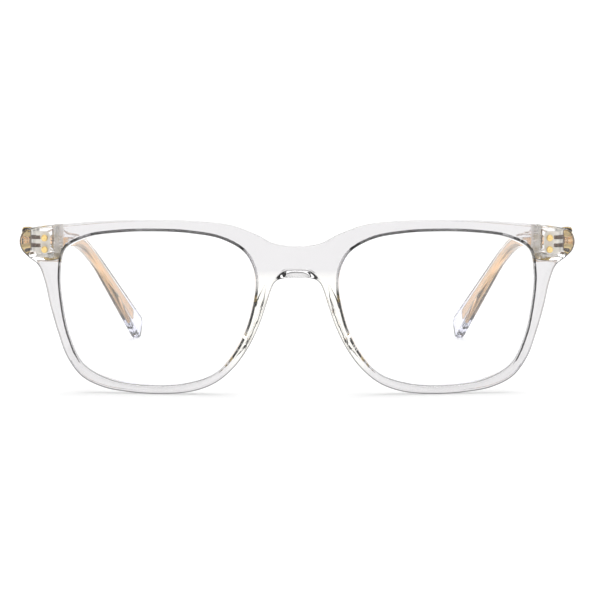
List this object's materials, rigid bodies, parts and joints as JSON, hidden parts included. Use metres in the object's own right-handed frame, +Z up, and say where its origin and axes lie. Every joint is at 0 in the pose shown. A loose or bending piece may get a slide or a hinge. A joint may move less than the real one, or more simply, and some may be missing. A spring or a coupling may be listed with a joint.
{
  "type": "spectacles",
  "caption": "Clear full-rim spectacles with thin curved lenses, riveted barrel hinges, folding temples and flat gold wire cores inside the temples.",
  "frame": {"origin": "centre of the bounding box in plan, at table height, with the rims and the temple tips touching z = 0", "axes": "-Y the way the wearer looks, so the front faces -Y and the temples run back along +Y; +X the wearer's left; +Z up"},
  "size_m": [0.142, 0.151, 0.0441],
  "materials": {
    "clear_frame": "polished clear acetate",
    "clear_temple": "polished clear acetate",
    "clear_pad": "polished clear acetate",
    "lens": "clear resin with a faint blue-violet coating",
    "gold_rivet": "polished gold",
    "gold_core": "satin pale gold",
    "hinge_metal": "nickel silver, brushed",
    "screw_metal": "bright steel"
  },
  "bodies": {
    "front": {"front_frame": "clear_frame", "lens_left": "lens", "nose_pad_left": "clear_pad", "hinge_front_leaf_left": "hinge_metal", "hinge_screw_left": "screw_metal", "front_rivet_upper_left": "gold_rivet", "front_rivet_lower_left": "gold_rivet", "lens_right": "lens", "nose_pad_right": "clear_pad", "hinge_front_leaf_right": "hinge_metal", "hinge_screw_right": "screw_metal", "front_rivet_upper_right": "gold_rivet", "front_rivet_lower_right": "gold_rivet"},
    "temple_left": {"temple_left": "clear_temple", "temple_core_left": "gold_core", "temple_rivet_upper_left": "gold_rivet", "temple_rivet_lower_left": "gold_rivet", "hinge_temple_leaf_left": "hinge_metal"},
    "temple_right": {"temple_right": "clear_temple", "temple_core_right": "gold_core", "temple_rivet_upper_right": "gold_rivet", "temple_rivet_lower_right": "gold_rivet", "hinge_temple_leaf_right": "hinge_metal"}
  },
  "joints": [
    {"name": "hinge_left", "type": "hinge", "parent": "front", "child": "temple_left", "pos_m": [0.0666, -0.06065, 0.03835], "axis": [0, 0, 1], "range_deg": [0, 84]},
    {"name": "hinge_right", "type": "hinge", "parent": "front", "child": "temple_right", "pos_m": [-0.0666, -0.06065, 0.03835], "axis": [0, 0, -1], "range_deg": [0, 79]}
  ]
}
